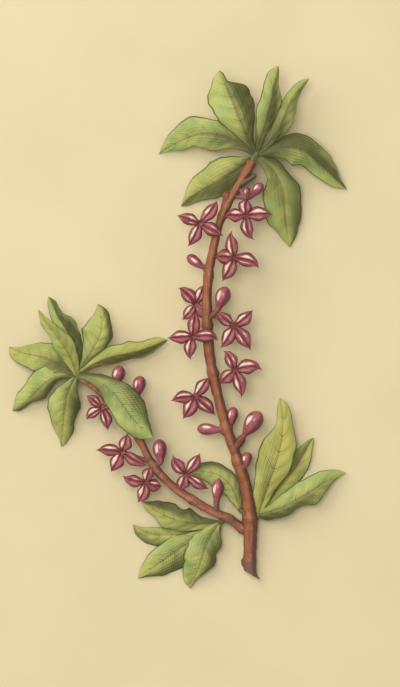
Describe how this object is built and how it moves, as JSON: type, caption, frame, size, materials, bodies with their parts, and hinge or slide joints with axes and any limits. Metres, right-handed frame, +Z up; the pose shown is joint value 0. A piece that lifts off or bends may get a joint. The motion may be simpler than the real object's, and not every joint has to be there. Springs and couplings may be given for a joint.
{
  "type": "flowering sprig",
  "caption": "Cut sprig of mezereon lying on its side: a woody stem with a side branch, tufts of leaves at the tips and base, and star-shaped flowers and closed buds along the wood.",
  "frame": {"origin": "bottom centre of the sprig's bounding box, on the surface it lies on", "axes": "+Y from the cut foot of the stem towards its tip, +Z up from the surface, +X to the right seen from above with the tip away from the viewer"},
  "size_m": [0.1356, 0.209, 0.024],
  "materials": {
    "stem_bark": "satin red-brown young bark",
    "branch_bark": "satin grey-brown young bark",
    "leaf_green": "soft green leaf blades",
    "petal_rose": "crimson rose lobes, paler along each half",
    "bud_crimson": "waxy crimson buds"
  },
  "bodies": {
    "root": {"main_stem": "stem_bark", "side_branch": "branch_bark", "top_leaves": "leaf_green", "left_leaves": "leaf_green", "lower_leaves": "leaf_green", "right_leaves": "leaf_green", "back_leaf": "leaf_green", "flower_01": "petal_rose", "flower_02": "petal_rose", "flower_03": "petal_rose", "flower_04": "petal_rose", "flower_05": "petal_rose", "flower_06": "petal_rose", "flower_07": "petal_rose", "flower_08": "petal_rose", "flower_09": "petal_rose", "flower_10": "petal_rose", "flower_11": "petal_rose", "flower_12": "petal_rose", "bud_01": "bud_crimson", "bud_02": "bud_crimson", "bud_03": "bud_crimson", "bud_04": "bud_crimson", "bud_05": "bud_crimson", "bud_06": "bud_crimson", "bud_07": "bud_crimson", "bud_08": "bud_crimson", "bud_09": "bud_crimson", "bud_10": "bud_crimson", "bud_11": "bud_crimson", "bud_12": "bud_crimson"}
  },
  "joints": []
}
